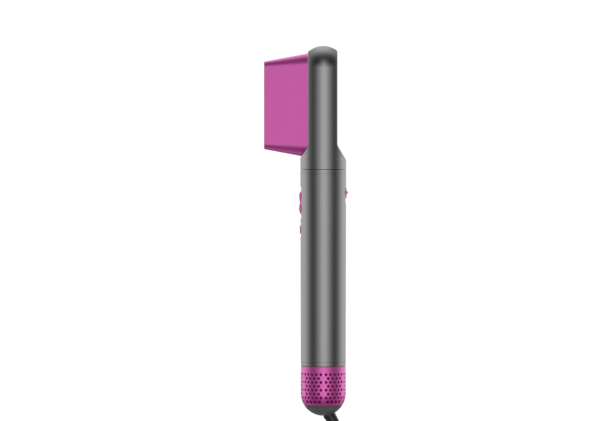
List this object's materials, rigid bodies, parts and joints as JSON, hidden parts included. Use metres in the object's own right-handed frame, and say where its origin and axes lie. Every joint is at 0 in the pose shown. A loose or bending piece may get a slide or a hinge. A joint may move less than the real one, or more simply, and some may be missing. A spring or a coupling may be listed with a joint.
{
  "type": "hot air styler",
  "caption": "Upright hot air styler: round handle with fan and heater, pull-off domed head with a flat drying nozzle, perforated filter cage and a mains lead on a swivel.",
  "frame": {"origin": "middle of the grip on the handle's axis", "axes": "+Z along the handle towards the head's dome, -X out of the nozzle's mouth, -Y the side the picture shows"},
  "size_m": [0.12, 0.112, 0.4869],
  "materials": {
    "grey_shell": "satin metallic grey",
    "magenta_shell": "satin metallic magenta",
    "dark_plastic": "fine matte",
    "soft_rubber": "matte",
    "filter_wire": "woven wire",
    "natural_plastic": "moulded",
    "steel": "brushed",
    "copper": "enamelled wire",
    "heating_wire": "oxidised",
    "mica": "flaky",
    "circuit_board": "solder mask",
    "magnet": "sintered"
  },
  "bodies": {
    "handle": {"handle_shell": "grey_shell", "coupling_collar": "grey_shell", "lower_ring": "grey_shell", "socket_ring": "natural_plastic", "socket_seal": "soft_rubber", "release_guide": "natural_plastic", "release_spring": "steel", "heater_carrier": "natural_plastic", "heater_sleeve": "mica", "heater_frame": "mica", "heater_coil": "heating_wire", "thermostat": "steel", "thermal_fuse": "steel", "switch_board": "circuit_board", "slide_switch": "dark_plastic", "cool_switch": "dark_plastic", "main_board": "circuit_board", "capacitor": "dark_plastic", "motor_board": "circuit_board", "motor_can": "steel", "lower_bearing": "steel", "upper_bearing": "steel", "stator_core": "steel", "winding_upper": "copper", "winding_lower": "copper", "motor_carrier": "natural_plastic", "intake_frame": "dark_plastic", "core_tube": "dark_plastic", "end_cap": "dark_plastic", "frame_screw_1": "steel", "frame_screw_2": "steel", "frame_screw_3": "steel"},
    "attachment": {"head_shell": "grey_shell", "coupling_sleeve": "dark_plastic", "nozzle": "magenta_shell", "nozzle_rib_1": "magenta_shell", "nozzle_rib_2": "magenta_shell", "turning_vane_1": "natural_plastic", "turning_vane_2": "natural_plastic"},
    "mode_slider": {"mode_thumb": "magenta_shell", "switch_lever": "dark_plastic"},
    "cool_button": {"cool_button": "magenta_shell"},
    "release_slider": {"release_thumb": "magenta_shell", "release_latch": "natural_plastic"},
    "filter_cage": {"filter_cage": "magenta_shell", "filter_mesh": "filter_wire"},
    "fan": {"impeller": "dark_plastic", "motor_shaft": "steel", "rotor_magnet": "magnet"},
    "lead_swivel": {"swivel_dome": "dark_plastic", "swivel_retainer": "steel", "strain_relief": "soft_rubber", "cord_lead": "soft_rubber", "cord_tail": "soft_rubber", "cord_coil": "soft_rubber", "cord_tie": "soft_rubber", "plug_relief": "soft_rubber", "plug_body": "soft_rubber", "plug_pin_left": "steel", "plug_pin_right": "steel"}
  },
  "joints": [
    {"name": "attachment_pull", "type": "slide", "parent": "handle", "child": "attachment", "axis": [0, 0, 1], "range_m": [0, 0.045]},
    {"name": "mode_slide", "type": "slide", "parent": "handle", "child": "mode_slider", "axis": [0, 0, 1], "range_m": [-0.0043, 0.0043]},
    {"name": "cool_press", "type": "slide", "parent": "handle", "child": "cool_button", "axis": [1, 0, 0], "range_m": [0, 0.0012], "stiffness_N_per_m": 900, "springref_m": -0.0002},
    {"name": "release_slide", "type": "slide", "parent": "handle", "child": "release_slider", "axis": [0, 0, 1], "range_m": [-0.0045, 0], "stiffness_N_per_m": 500, "springref_m": 0.001, "deforming": ["release_spring"]},
    {"name": "cage_twist", "type": "hinge", "parent": "handle", "child": "filter_cage", "pos_m": [0, 0, -0.119], "axis": [0, 0, 1], "range_deg": [0, 20]},
    {"name": "fan_spin", "type": "hinge", "parent": "handle", "child": "fan", "pos_m": [0, 0, -0.08], "axis": [0, 0, 1], "continuous": true},
    {"name": "swivel_turn", "type": "hinge", "parent": "handle", "child": "lead_swivel", "pos_m": [0, 0, -0.1365], "axis": [0, 0, 1], "continuous": true}
  ]
}
